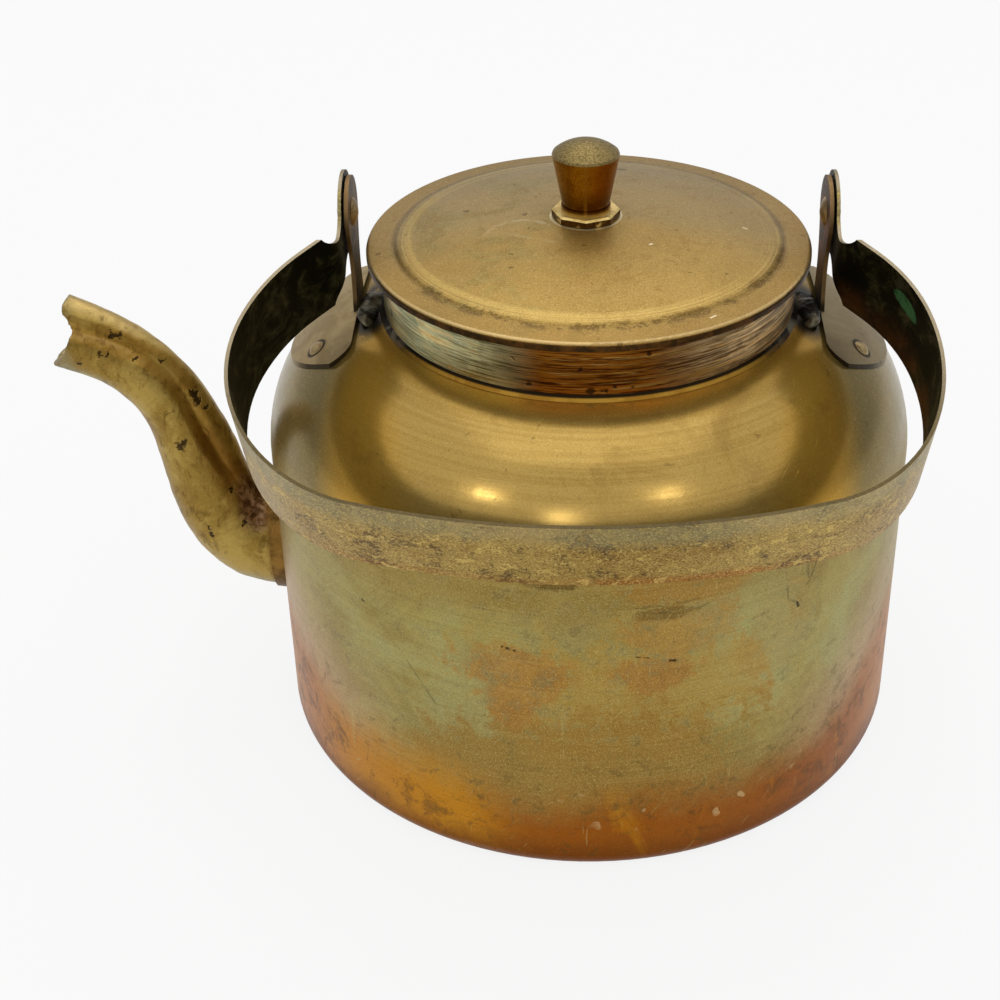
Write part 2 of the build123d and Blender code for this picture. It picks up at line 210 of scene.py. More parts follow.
def pot_finish():
    material, start = new_finish("pot_brass")
    spot, x, y, z, out, angle = whereabouts(start)
    across = angle * wall_radius
    turn = abs(angle)
    cloud = noise(spot, 9.0, 5.0, 0.6, 0.4)
    mottle = noise(shift(spot, (3, 1, 2)), 34.0, 8.0, 0.7, 0.8)
    fleck = noise(shift(spot, (2, 5, 1)), 190.0, 5.0, 0.75, 0.6)
    grain = noise(spot, 2200.0, 3.0, 0.7)
    brush = lathe_marks(start, x, y, z, 30.0, 40.0, 6.0)
    lines = lathe_marks(start, x, y, out - z, 14.0, 40.0, 5.0)
    fine_lines = lathe_marks(start, x, y, out - z, 20.0, 220.0, 4.0)
    drips = noise(stretch(spot, (1.0, 1.0, 0.3)), 40.0, 6.0, 0.65, 1.0)
    ragged = (mottle - 0.5) * 2.0 + (fleck - 0.5) * 1.4 + (drips - 0.5) * 1.2

    # The wall is olive, with paler green clouds that gather at the sides.
    dull = spread(mottle + (cloud - 0.5) * 0.8, 0.42, 0.6)
    shade = over(colour(164, 148, 82), colour(146, 128, 66), dull)
    pale = noise(shift(spot, (7, 2, 5)), 15.0, 5.0, 0.6, 0.5) + (fleck - 0.5) * 0.25
    sides = spread(turn, 0.12, 0.5) * spread(z, 0.036, 0.058)
    shade = over(shade, colour(166, 162, 106), spread(pale, 0.44, 0.60) * (0.25 + sides * 0.6))

    # The front is browner, and in patches it is rubbed down to a copper tone.
    centre = patch(angle, z, (4, 0.066), (0.040, 0.026), ragged)
    shade = over(shade, colour(172, 138, 62), centre * 0.7)
    low = patch(angle, z, (0, 0.040), (0.046, 0.024), ragged)
    shade = over(shade, colour(148, 112, 46), low * 0.8)
    rubbed = patch(angle, z, (-11, 0.073), (0.018, 0.009), ragged)
    for at, size, share in (
        ((-12, 0.064), (0.011, 0.011), 1.0),
        ((9, 0.074), (0.014, 0.007), 1.0),
        ((14, 0.086), (0.017, 0.010), 0.6),
        ((33, 0.078), (0.012, 0.016), 0.35),
    ):
        rubbed = either(rubbed, patch(angle, z, at, size, ragged) * share)
    copper = over(colour(168, 118, 52), colour(146, 92, 40), spread(fleck, 0.42, 0.6))
    shade = over(shade, copper, rubbed * 0.64)
    upper = spread(z + (mottle - 0.5) * 0.02, 0.084, 0.098)
    shade = over(shade, colour(146, 112, 50), upper * 0.45)
    stain = patch(angle, z, (15, 0.101), (0.020, 0.006), ragged * 0.6)
    shade = over(shade, colour(164, 112, 36), stain * 0.5)
    smudge = patch(angle, z, (-6, 0.1035), (0.0085, 0.0020), ragged * 0.8)
    fainter = patch(angle, z, (12, 0.0935), (0.0085, 0.0022), ragged * 1.3)
    shade = over(shade, colour(84, 58, 18), either(smudge, fainter * 0.6) * 0.8)
    crumbs = spread(fleck + (drips - 0.5) * 0.3, 0.62, 0.70)
    crumbs = crumbs * patch(angle, z, (5, 0.068), (0.034, 0.012), ragged)
    shade = over(shade, colour(196, 168, 96), crumbs * 0.6)

    # The flame has tinted the foot orange, higher at the sides, with a pink haze above.
    flank = spread(turn, 0.75, 1.25) * (1 - spread(turn, 1.7, 2.7) * 0.55)
    wander = (cloud - 0.5) * 0.030 + (mottle - 0.5) * 0.016 + (drips - 0.5) * 0.014
    left = spread(angle, -0.16, -0.42) * spread(turn, 2.8, 1.8) * (1 - flank)
    heat = spread(z - flank * 0.026 - left * 0.007 - 0.019 - wander, 0.018, -0.006)
    pink = spread(z - flank * 0.026 - 0.030 - wander, 0.040, 0.0) * spread(turn, 0.5, 1.0)
    weaker = spread(angle, 0.9, 1.3) * spread(turn, 3.0, 2.2)
    shade = over(shade, colour(188, 154, 122), pink * (0.8 - weaker * 0.35))
    yellow = either(left, spread(drips, 0.52, 0.66) * 0.6)
    tint = over(colour(146, 76, 2), colour(190, 126, 8), yellow)
    tint = over(tint, colour(186, 122, 60), flank * 0.8)
    browned = spread(mottle + (fleck - 0.5) * 0.9, 0.50, 0.66)
    tint = over(tint, colour(108, 54, 4), browned * 0.4)
    shade = over(shade, tint, heat * 0.94)
    foot = spread(z + (mottle - 0.5) * 0.016, 0.014, 0.002)
    shade = over(shade, colour(106, 52, 4), foot * 0.85)
    spots = spread(noise(shift(spot, (9, 4, 2)), 190.0, 1.0, 0.4), 0.66, 0.70)
    spots = spots * patch(angle, z, (18, 0.024), (0.040, 0.010), ragged * 0.5)
    shade = over(shade, colour(200, 166, 116), spots * 0.7)

    # A faint turned ring runs across the front, and the wall is scratched and brushed.
    off_ring = abs(z - 0.0505 - angle * 0.0012)
    ring = spread(off_ring, 0.0016, 0.0002) * spread(turn, 0.75, 0.45)
    shade = over(shade, colour(182, 162, 96), ring * spread(fleck, 0.44, 0.6) * 0.30)
    scratches = spread(noise(stretch(spot, (170.0, 170.0, 14.0)), 3.0, 3.0), 0.69, 0.73)
    tilt = {"Vector": spot, "Rotation": (0.0, 0.9, 0.0)}
    slant = start.node("Mapping", {"vector_type": "POINT"}, tilt)
    slanted = noise(stretch(slant, (30.0, 30.0, 420.0)), 3.0, 2.0)
    scratches = either(scratches, spread(slanted, 0.70, 0.73))
    shade = over(shade, colour(190, 176, 112), scratches * 0.3)
    shade = over(shade, colour(104, 84, 38), spread(fine_lines, 0.54, 0.66) * 0.18)
    shade = over(shade, colour(112, 88, 38), spread(brush, 0.54, 0.66) * 0.16)
    shade = over(shade, colour(184, 166, 96), spread(brush, 0.46, 0.36) * 0.14 * (1 - heat))
    bloom = spread(mottle + (fleck - 0.5) * 1.6, 0.55, 0.70) * 0.30
    shade = over(shade, colour(190, 174, 112), bloom * spread(z, 0.040, 0.060))
    specks = spread(fleck + (mottle - 0.5) * 0.4, 0.52, 0.68)
    shade = over(shade, colour(88, 68, 28), specks * 0.42)
    bright = spread(grain, 0.53, 0.64) * 0.36 * (1 - heat * 0.85)
    shade = over(shade, colour(204, 186, 118), bright)
    shade = over(shade, colour(84, 66, 26), spread(grain, 0.46, 0.35) * 0.34)

    # The shoulder is gold and dull towards the ears. On each side it is deeper amber, painted
    # reflection, and next to the neck darker amber, painted shade.
    gold = over(colour(192, 158, 84), colour(182, 148, 76), spread(lines, 0.40, 0.62))
    gold = over(gold, colour(160, 126, 54), spread(fine_lines, 0.54, 0.66) * 0.35)
    aside = turn + (out - 0.075) * 14.0
    # Painted reflection: deeper amber on each side, where the shoulder's reflection darkens.
    gold = over(gold, colour(204, 152, 40), spread(aside, 0.70, 0.95) * 0.7)
    gold = over(gold, colour(112, 102, 62), spread(aside, 1.04, 1.26) * 0.88)
    # Painted shade: darker amber next to the neck.
    gold = over(gold, colour(172, 130, 40), spread(out, 0.0745, 0.0635) * 0.8)
    gold = over(gold, colour(96, 70, 26), spread(fleck, 0.62, 0.70) * 0.5)
    gold = over(gold, colour(224, 198, 128), spread(grain, 0.54, 0.66) * 0.30)
    gold = over(gold, colour(120, 92, 38), spread(grain, 0.46, 0.34) * 0.28)
    gold = over(gold, colour(138, 104, 44), spread(mottle, 0.52, 0.66) * 0.35)
    low_edge, high_edge = shoulder_level + 0.006, shoulder_level + 0.016
    shoulder = spread(z + (mottle - 0.5) * 0.006, low_edge, high_edge)
    shade = over(shade, gold, shoulder)

    # Near-black dirt and painted shade lie under the feet of the ears, next to the neck.
    from_ear = (abs(x) - 0.0640) ** 2.0 + (y + 0.0060) ** 2.0 * 0.12
    by_ear = spread(from_ear, 0.000050, 0.000016)
    by_ear = by_ear * spread(mottle + (fleck - 0.5) * 0.3, 0.34, 0.46)
    shade = over(shade, colour(14, 11, 7), by_ear * 0.97)

    # Dark ticks and longer scores, each at its place: how far across, and how high.
    ticks = strokes(across, z, (
        ((-0.0240, 0.0815), (-0.0205, 0.0808), 0.0006),
        ((0.0225, 0.0770), (0.0240, 0.0768), 0.0006),
        ((-0.0700, 0.0820), (-0.0690, 0.0815), 0.0006),
        ((0.0610, 0.1005), (0.0616, 0.0995), 0.0007),
        ((0.0625, 0.0845), (0.0630, 0.0830), 0.0006),
        ((0.0130, 0.0795), (0.0165, 0.0788), 0.0003),
    ))
    ticks = ticks * spread(fleck, 0.36, 0.50)
    shade = over(shade, colour(48, 38, 16), ticks * 0.9)
    straight = strokes(across, z, (
        ((-0.0660, 0.0800), (-0.0555, 0.0690), 0.0005),
        ((-0.0555, 0.0690), (-0.0450, 0.0550), 0.0005),
    ))
    wavy = strokes(across, z + (mottle - 0.5) * 0.012, (
        ((0.0575, 0.0985), (0.0590, 0.0870), 0.0005),
        ((0.0590, 0.0870), (0.0635, 0.0835), 0.0005),
        ((0.0655, 0.0980), (0.0665, 0.0880), 0.0005),
        ((0.0690, 0.0960), (0.0650, 0.0880), 0.0005),
        ((0.0470, 0.0850), (0.0520, 0.0862), 0.0005),
        ((0.0120, 0.0955), (0.0300, 0.0962), 0.0005),
        ((0.0150, 0.0925), (0.0330, 0.0935), 0.0005),
        ((0.0020, 0.0790), (0.0050, 0.0812), 0.0005),
    ))
    scores = either(straight, wavy) * spread(fleck, 0.40, 0.56)
    shade = over(shade, colour(72, 60, 28), scores * 0.42)

    rough = 0.42 + (cloud - 0.5) * 0.12 + (fleck - 0.5) * 0.16 - shoulder * 0.19
    rough = rough + (lines - 0.5) * 0.06
    metallic = 0.80 + heat * 0.18 - shoulder * 0.18
    relief = grain * 0.07 + lines * 0.004 + fine_lines * 0.02
    relief = relief + fleck * (1 - shoulder * 0.9) * 0.5
    relief = relief - ticks * 2.0 - scores * 1.0 - scratches * 0.3
    return metal(material, start, shade, rough, metallic, relief, 0.00006)


dress(pot_finish(), "body_shell")


# The neck is a plain ring of sheet, rolled and soldered into the mouth of the pot. It is
# dull and streaked from the rolling, with green and grey patches and dark pits.
collar_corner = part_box("neck_collar")[1]


def collar_finish():
    material, start = new_finish("collar_brass")
    spot, x, y, z, out, angle = whereabouts(start)
    turn = abs(angle)
    lines = lathe_marks(start, x, y, z, 55.0, 28.0, 6.0)
    bands = lathe_marks(start, x, y, z, 16.0, 40.0, 4.0)
    fine_lines = lathe_marks(start, x, y, z, 110.0, 34.0, 5.0)
    cloud = noise(shift(spot, (1, 4, 2)), 40.0, 6.0, 0.7, 0.8)

    # Brown in front, paler with finer streaks to the left and the right.
    left = spread(angle, -0.20, -0.50) * spread(turn, 3.0, 2.2)
    right = either(spread(angle, 0.22, 0.60), spread(turn, 2.2, 3.0))
    streaked = lines + (fine_lines - 0.5) * 0.9
    streaks = spread(streaked, 0.42, 0.60)
    shade = over(colour(196, 122, 36), colour(92, 46, 12), streaks)
    straw = over(colour(252, 244, 184), colour(160, 144, 86), spread(streaked, 0.52, 0.64))
    shade = over(shade, straw, left)
    shade = over(shade, over(colour(232, 200, 146), colour(122, 90, 54), streaks), right)
    gleam = spread(bands + (fine_lines - 0.5) * 0.8, 0.56, 0.66)
    shade = over(shade, colour(240, 192, 104), gleam * 0.7)

    # A green-grey patch on the left, soot at both sides, painted shade at the far left, dark
    # pits, and painted shadow under the lid.
    grey = spread(cloud + (fine_lines - 0.5) * 0.5, 0.42, 0.50)
    grey = grey * spread(abs(angle + 0.85), 0.34, 0.14)
    film = over(colour(230, 240, 204), colour(150, 164, 126), spread(fine_lines, 0.42, 0.58))
    shade = over(shade, film, grey * 0.8)
    soot = spread(bands + (cloud - 0.5) * 1.1 + (fine_lines - 0.5) * 0.9, 0.45, 0.36)
    shade = over(shade, colour(34, 26, 12), soot * either(left * 0.6, right) * 0.55)
    # Painted shade: darker still at the far left.
    far_left = spread(angle, -1.05, -1.30) * spread(turn, 2.4, 1.6)
    shade = over(shade, colour(62, 50, 28), far_left * 0.6)
    pits = spread(noise(shift(spot, (4, 4, 1)), 230.0, 1.0, 0.4), 0.72, 0.77)
    crumbs = (noise(spot, 620.0, 2.0, 0.6) - 0.5) * 0.0030
    for degrees, level, width in (
        (-19.7, 0.1492, 0.0009),
        (-15.8, 0.1421, 0.0011),
        (-2.5, 0.1475, 0.0012),
        (0.3, 0.1411, 0.0018),
        (4.0, 0.1410, 0.0009),
        (6.6, 0.1421, 0.0009),
    ):
        across = (angle - math.radians(degrees)) * collar_corner.x + crumbs
        gap = (across * across + (z - level) ** 2.0) ** 0.5
        pits = either(pits, spread(gap, width, width * 0.35))
    shade = over(shade, colour(40, 20, 8), pits * 0.85)
    top = collar_corner.z
    # Painted shadow: a near-black band under the lid's edge.
    under_lid = spread(z + (fine_lines - 0.5) * 0.001, top - 0.0042, top - 0.0022)
    shade = over(shade, colour(16, 9, 4), under_lid * 0.9)

    rough = 0.34 + (cloud - 0.5) * 0.2 + (lines - 0.5) * 0.2 + pits * 0.2
    metallic = 0.84 - grey * 0.4
    relief = lines * 0.6 + bands * 0.3 + fine_lines * 0.5 - pits * 1.2
    return metal(material, start, shade, rough, metallic, relief, 0.0001)


def solder_finish(name, main, dirt):
    """Solder in two tones, with a black line of painted shade in the seam at the neck, and
    grey and near black in patches beside the ears, from dirt and painted shade.
    """
    material, start = new_finish(name)
    spot, x, y, z, out, angle = whereabouts(start)
    cloud = noise(spot, 90.0, 5.0, 0.65, 0.5)
    grain = noise(spot, 1500.0, 4.0, 0.7)
    shade = over(main, dirt, spread(cloud, 0.42, 0.60))
    shade = over(shade, colour(190, 160, 96), spread(grain, 0.56, 0.68) * 0.3)
    # Painted shade: a black line in the seam at the foot of the neck.
    seam = spread(out, collar_corner.x + 0.0009, collar_corner.x + 0.0005)
    shade = over(shade, colour(16, 11, 6), seam * 0.97)
    # Beside the ears: grey and near-black patches, dirt and painted shade.
    near_ear = spread(abs(x), 0.048, 0.058)
    near_ear = near_ear * spread(out, wall_radius, collar_corner.x + 0.010)
    grey_dirt_and_shade = over(colour(120, 112, 92), colour(16, 14, 11), spread(cloud, 0.60, 0.48))
    shade = over(shade, grey_dirt_and_shade, near_ear * 0.95)
    rough = 0.42 + (grain - 0.5) * 0.3
    relief = cloud + grain * 0.3
    return metal(material, start, shade, rough, 0.8, relief, 0.0002)


dress(collar_finish(), "neck_collar")
collar_solder = solder_finish("collar_solder", colour(176, 134, 50), colour(156, 112, 36))
dress(collar_solder, "collar_solder")
spout_solder = solder_finish("spout_solder", colour(142, 106, 48), colour(96, 68, 30))
dress(spout_solder, "spout_solder")


# When the ears were put on, solder ran down between them and the neck and set in two
# smears on the shoulder, grey and mostly near black, from dirt and painted shade.
def pick(piece):
    """Makes one piece the only one selected, and the active one."""
    bpy.ops.object.select_all(action="DESELECT")
    piece.select_set(True)
    bpy.context.view_layer.objects.active = piece


def add_modifier(piece, kind, settings):
    """Adds a modifier to a piece and applies it."""
    pick(piece)
    modifier = piece.modifiers.new(kind.lower(), kind)
    for name, value in settings.items():
        setattr(modifier, name, value)
    bpy.ops.object.modifier_apply(modifier=modifier.name)


def lumps(name, size, depth):
    """A cloud texture for a Displace modifier: the size of its lumps and their detail."""
    texture = bpy.data.textures.new(name, "CLOUDS")
    texture.noise_scale = size
    texture.noise_depth = depth
    return texture


run_solder = solder_finish("run_solder", colour(132, 124, 104), colour(24, 21, 16))
smear_out = collar_corner.x + 0.0030
smear_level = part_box("collar_solder")[1].z - 0.0024
middle = (0.0, 0.0, 0.0)
for side, end in ((-1, "spout_side"), (1, "back_side")):
    bpy.ops.object.select_all(action="DESELECT")
    bpy.ops.mesh.primitive_ico_sphere_add(subdivisions=6, radius=1.0)
    smear = bpy.context.object
    smear.name = "solder_smear_" + end
    lean, twist = side * math.radians(28), side * math.radians(-6)
    bpy.ops.object.mode_set(mode="EDIT")
    bpy.ops.mesh.select_all(action="SELECT")
    bpy.ops.transform.resize(value=(0.0042, 0.0110, 0.0020), center_override=middle)
    bpy.ops.transform.rotate(value=lean, orient_axis="Y", center_override=middle)
    bpy.ops.transform.rotate(value=twist, orient_axis="Z", center_override=middle)
    bpy.ops.transform.translate(value=(side * smear_out, -0.0065, smear_level))
    bpy.ops.object.mode_set(mode="OBJECT")
    add_modifier(smear, "DISPLACE", {"texture": lumps("ran_solder", 0.006, 2), "strength": 0.0018})
    pick(smear)
    bpy.ops.object.shade_smooth()
    smear.data.materials.append(run_solder)
    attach(smear, "pot")


# The spout is a cast brass tube with a rounded ridge on top of a wider lower lobe, its
# mouth chipped. It keeps its casting skin, with pits, and brown dirt and painted shade
# along the crease, which runs down each side through these places: how far along, and how high.
crease_line = (
    (-0.1570, 0.1325), (-0.1467, 0.1283), (-0.1405, 0.1252), (-0.1332, 0.1205),
    (-0.1279, 0.1151), (-0.1238, 0.1070), (-0.1201, 0.0957), (-0.1161, 0.0856),
    (-0.1120, 0.0765), (-0.1060, 0.0640),
)
mouth_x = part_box("spout")[0].x


def spout_finish():
    material, start = new_finish("spout_brass")
    spot, x, y, z, out, angle = whereabouts(start)
    normal = start.node("TexCoord", output=1)
    upward = start.node("SeparateXYZ", None, {"Vector": normal}, 2)
    cloud = noise(spot, 30.0, 6.0, 0.7, 0.8)
    mottle = noise(shift(spot, (1, 3, 6)), 110.0, 6.0, 0.7, 0.6)
    streaks = noise(stretch(spot, (1.0, 1.0, 0.4)), 300.0, 5.0, 0.7, 1.0)
    grain = noise(spot, 1800.0, 4.0, 0.75)

    # The skin: paler on the ridge where it faces up, rubbed and painted light, greener below,
    # with brown streaks.
    dull = spread(cloud + (mottle - 0.5) * 0.5, 0.40, 0.62)
    shade = over(colour(176, 148, 76), colour(148, 118, 52), dull)
    # Painted light, with wear: the ridge's upward faces are paler.
    ridge = spread(upward + (mottle - 0.5) * 0.3, 0.50, 0.80) * spread(x, -0.118, -0.130)
    shade = over(shade, colour(206, 178, 116), ridge * 0.6)
    shade = over(shade, colour(124, 128, 84), spread(upward, -0.30, -0.75) * 0.45)
    brown = spread(streaks + (cloud - 0.5) * 0.8, 0.56, 0.70)
    shade = over(shade, colour(104, 74, 26), brown * 0.32)

    # Dirt and painted shade along the crease, thicker low down, then the grain of the casting.
    runs = [(low, high, 0.0046) for low, high in zip(crease_line, crease_line[1:])]
    dirt = strokes(x, z, runs)
    dirt = dirt * spread(dirt + (mottle - 0.5) * 0.8 + (streaks - 0.5) * 0.6, 0.10, 0.75)
    lower = spread(z, 0.105, 0.090)
    crease_dirt_and_shade = over(colour(144, 96, 20), colour(112, 66, 8), lower)
    shade = over(shade, crease_dirt_and_shade, dirt * (0.34 + lower * 0.24))
    bright = spread(grain, 0.54, 0.66) * 0.28 * (1 - dirt * 0.8)
    shade = over(shade, colour(206, 180, 112), bright)
    shade = over(shade, colour(92, 68, 26), spread(grain, 0.46, 0.34) * 0.26)
    specks = spread(mottle + (streaks - 0.5) * 1.4, 0.60, 0.72)
    shade = over(shade, colour(96, 70, 28), specks * 0.42)

    # A red crust low on the crease, a dark wedge at the root and a dull, grey mouth.
    from_crust = ((x + 0.1065) / 0.0058) ** 2.0 + ((z - 0.0690) / 0.0115) ** 2.0
    crust = spread(from_crust + (mottle - 0.5) * 3.0, 1.3, 0.5)
    crumbly = spread(noise(spot, 520.0, 4.0, 0.7), 0.42, 0.58)
    shade = over(shade, over(colour(144, 112, 84), colour(72, 44, 26), crumbly), crust * 0.85)
    wedge_out = wall_radius + 0.0052, wall_radius + 0.0036
    wedge = spread(out + (mottle - 0.5) * 0.003, *wedge_out)
    shade = over(shade, colour(120, 82, 34), wedge * 0.7)
    mouth = spread(x - mouth_x + (mottle - 0.5) * 0.008, 0.0110, 0.0050)
    worn = over(colour(134, 136, 112), colour(70, 60, 44), spread(streaks, 0.42, 0.58))
    shade = over(shade, worn, mouth * 0.5)

    # Pits in the near side of the casting, with crumbled edges.
    crumbs = [noise(shift(spot, (0, 0, place)), 620.0, 2.0, 0.6) for place in (0, 5)]
    jog_x, jog_z = x + (crumbs[0] - 0.5) * 0.0042, z + (crumbs[1] - 0.5) * 0.0042
    pits = strokes(jog_x, jog_z, (
        ((-0.1440, 0.1283), (-0.1418, 0.1277), 0.0013),
        ((-0.1469, 0.1235), (-0.1469, 0.1234), 0.0009),
        ((-0.1452, 0.1234), (-0.1450, 0.1234), 0.0007),
        ((-0.1371, 0.1211), (-0.1370, 0.1210), 0.0006),
        ((-0.1301, 0.1188), (-0.1298, 0.1186), 0.0006),
        ((-0.1224, 0.1080), (-0.1209, 0.1043), 0.0014),
        ((-0.1187, 0.1022), (-0.1185, 0.1016), 0.0010),
        ((-0.1274, 0.0917), (-0.1255, 0.0931), 0.0013),
        ((-0.1268, 0.0906), (-0.1266, 0.0905), 0.0010),
        ((-0.1139, 0.0742), (-0.1138, 0.0735), 0.0010),
        ((-0.1537, 0.1206), (-0.1535, 0.1205), 0.0009),
        ((-0.1218, 0.0625), (-0.1214, 0.0617), 0.0008),
        ((-0.1213, 0.0596), (-0.1210, 0.0588), 0.0008),
        ((-0.1104, 0.0632), (-0.1103, 0.0630), 0.0008),
    ))
    pits = pits * spread(y, 0.0, -0.002)
    shade = over(shade, colour(36, 24, 10), pits * 0.9)

    rough = 0.40 + (grain - 0.5) * 0.25 + (cloud - 0.5) * 0.12
    relief = grain * 0.3 + mottle * 0.5 + streaks * 0.3 - pits * 1.5 - crust * 0.6
    return metal(material, start, shade, rough, 0.85, relief, 0.0002)


plain_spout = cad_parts["spout"]
casting = plain_spout.copy()
casting.data = plain_spout.data.copy()
casting.name = "spout_casting"
bpy.context.scene.collection.objects.link(casting)
pick(casting)
bpy.ops.object.mode_set(mode="EDIT")
bpy.ops.mesh.select_all(action="SELECT")
bpy.ops.mesh.remove_doubles(threshold=0.00001)
bpy.ops.mesh.normals_make_consistent(inside=False)
bpy.ops.object.mode_set(mode="OBJECT")
add_modifier(casting, "REMESH", {"mode": "VOXEL", "voxel_size": 0.0006})
add_modifier(casting, "SMOOTH", {"factor": 0.5, "iterations": 3})

# The skin is lumpy all over but at the root, the crease is pressed in, the rim is torn.
root_x = -wall_radius - 0.004
root_blend, crease_width, rim_length = 0.004, 0.0030, 0.012
groups = {name: casting.vertex_groups.new(name=name) for name in ("skin", "crease", "rim")}
for vertex in casting.data.vertices:
    across, up = vertex.co.x, vertex.co.z
    away = min((root_x - across) / root_blend, 1.0)
    gap = 1.0
    for (low_x, low_z), (high_x, high_z) in zip(crease_line, crease_line[1:]):
        run, rise = high_x - low_x, high_z - low_z
        share = ((across - low_x) * run + (up - low_z) * rise) / (run * run + rise * rise)
        share = min(max(share, 0.0), 1.0)
        gap = min(gap, math.hypot(across - low_x - run * share, up - low_z - rise * share))
    weights = {
        "skin": away,
        "crease": min(away, 1.0 - gap / crease_width),
        "rim": 1.0 - (across - mouth_x) / rim_length,
    }
    for name, weight in weights.items():
        if weight > 0:
            groups[name].add([vertex.index], min(weight, 1.0), "REPLACE")
for settings in (
    {"texture": lumps("cast_skin", 0.007, 2), "strength": 0.0006, "vertex_group": "skin"},
    {"strength": -0.0007, "mid_level": 0.0, "vertex_group": "crease"},
    {
        "texture": lumps("torn_rim", 0.0034, 2),
        "strength": 0.0022,
        "vertex_group": "rim",
        "direction": "X",
    },
):
    add_modifier(casting, "DISPLACE", settings)
pick(casting)
bpy.ops.object.shade_smooth()
casting.data.materials.clear()
casting.data.materials.append(spout_finish())
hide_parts("spout")
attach(casting, "pot")


# The ears are cut from sheet brass and riveted to the shoulder: a wide foot bent to its
# curve, and an upright with a round head for the pivot. The foot is matt and tan, the
# upright dark and worn.
foot_bend_radius = 0.0447


def ear_finish():
    material, start = new_finish("ear_brass")
    spot, x, y, z, out, angle = whereabouts(start)
    cloud = noise(spot, 70.0, 5.0, 0.65, 0.6)
    grain = noise(spot, 620.0, 4.0, 0.7)

    # How squarely a face lies on the bent foot or the flat upright; the cut edges don't.
    normal = start.node("TexCoord", output=1)
    lean = start.node("CombineXYZ", None, {"X": x / out, "Y": y / out, "Z": 0.0})
    bend_out = (out - (wall_radius - foot_bend_radius)) / foot_bend_radius
    bend_up = (z - shoulder_level) / foot_bend_radius
    face = start.node("VectorMath", {"operation": "SCALE"}, {0: lean, 3: bend_out})
    face = shift(face, start.node("CombineXYZ", None, {"Z": bend_up}))
    flat = start.node("VectorMath", {"operation": "DOT_PRODUCT"}, {0: normal, 1: face}, 1)
    upright = spread(z, 0.139, 0.142)
    sideways = start.node("SeparateXYZ", None, {"Vector": normal}, 0)
    flat = abs(flat) * (1 - upright) + abs(sideways) * upright
    edge = spread(flat, 0.80, 0.60)

    # The foot is tan, the upright worn and dark, redder on the back side, and darker low down
    # with painted shade.
    right = spread(x, -0.01, 0.01)
    shade = over(colour(172, 150, 106), colour(152, 130, 88), spread(cloud, 0.42, 0.62))
    shade = over(shade, colour(118, 108, 86), right * 0.6)
    blotches = spread(cloud, 0.44, 0.56)
    worn = over(colour(112, 84, 30), colour(68, 46, 12), blotches)
    worn = over(worn, over(colour(112, 60, 24), colour(62, 34, 10), blotches), right)
    # Painted shade: the upright darkens towards the bottom.
    worn = over(worn, colour(60, 42, 20), spread(z, 0.154, 0.144) * 0.6)
    shade = over(shade, worn, upright)
    shade = over(shade, colour(66, 52, 30), spread(grain, 0.60, 0.74) * 0.4)
    # Painted shade: the foot's cut edges are near black; the upright's cut edges are pale.
    shade = over(shade, over(colour(30, 23, 13), colour(142, 114, 76), upright), edge * 0.9)

    # Painted shade round the rivets' heads in the foot.
    rivet = [(low + high) / 2 for low, high in zip(*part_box("ear_rivet_back_rear"))]
    flat_gap = (abs(x) - rivet[0]) ** 2.0 + (abs(y) - rivet[1]) ** 2.0
    gap = (flat_gap + (z - rivet[2]) ** 2.0) ** 0.5
    shade = over(shade, colour(30, 22, 12), spread(gap, 0.0041, 0.0033) * 0.9)

    rough = 0.5 + (grain - 0.5) * 0.3
    relief = grain * 0.6 + cloud * 0.8
    return metal(material, start, shade, rough, 0.75 + upright * 0.20, relief, 0.00014, 0.08)


dress(ear_finish(), "ear_spout_side", "ear_back_side")


# Rivets of soft brass with hammered round heads hold the ears' feet to the shoulder and
# carry the strap at the ears' heads.
def rivet_finish():
    material, start = new_finish("rivet_brass")
    spot = start.node("TexCoord", output=3)
    cloud = noise(spot, 240.0, 4.0, 0.6, 0.6)
    grain = noise(spot, 900.0, 4.0, 0.7)
    shade = over(colour(168, 146, 104), colour(122, 100, 68), spread(cloud, 0.42, 0.62))
    rough = 0.42 + (grain - 0.5) * 0.3
    relief = grain * 0.5 + cloud
    return metal(material, start, shade, rough, 0.8, relief, 0.0002)


foot_rivets = ["ear_rivet_spout_front", "ear_rivet_spout_rear"]
foot_rivets += ["ear_rivet_back_front", "ear_rivet_back_rear"]
dress(rivet_finish(), *foot_rivets, "pivot_rivet_spout_side", "pivot_rivet_back_side")


# The bail is a flat brass strip, cut to scalloped heads and bent round by hand. Its
# outer face is grey, pitted and worn; its inner face is nearly black with old soot.
pivot_level = sum(corner.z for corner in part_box("pivot_rivet_back_side")) / 2
droop = math.radians(24.8)


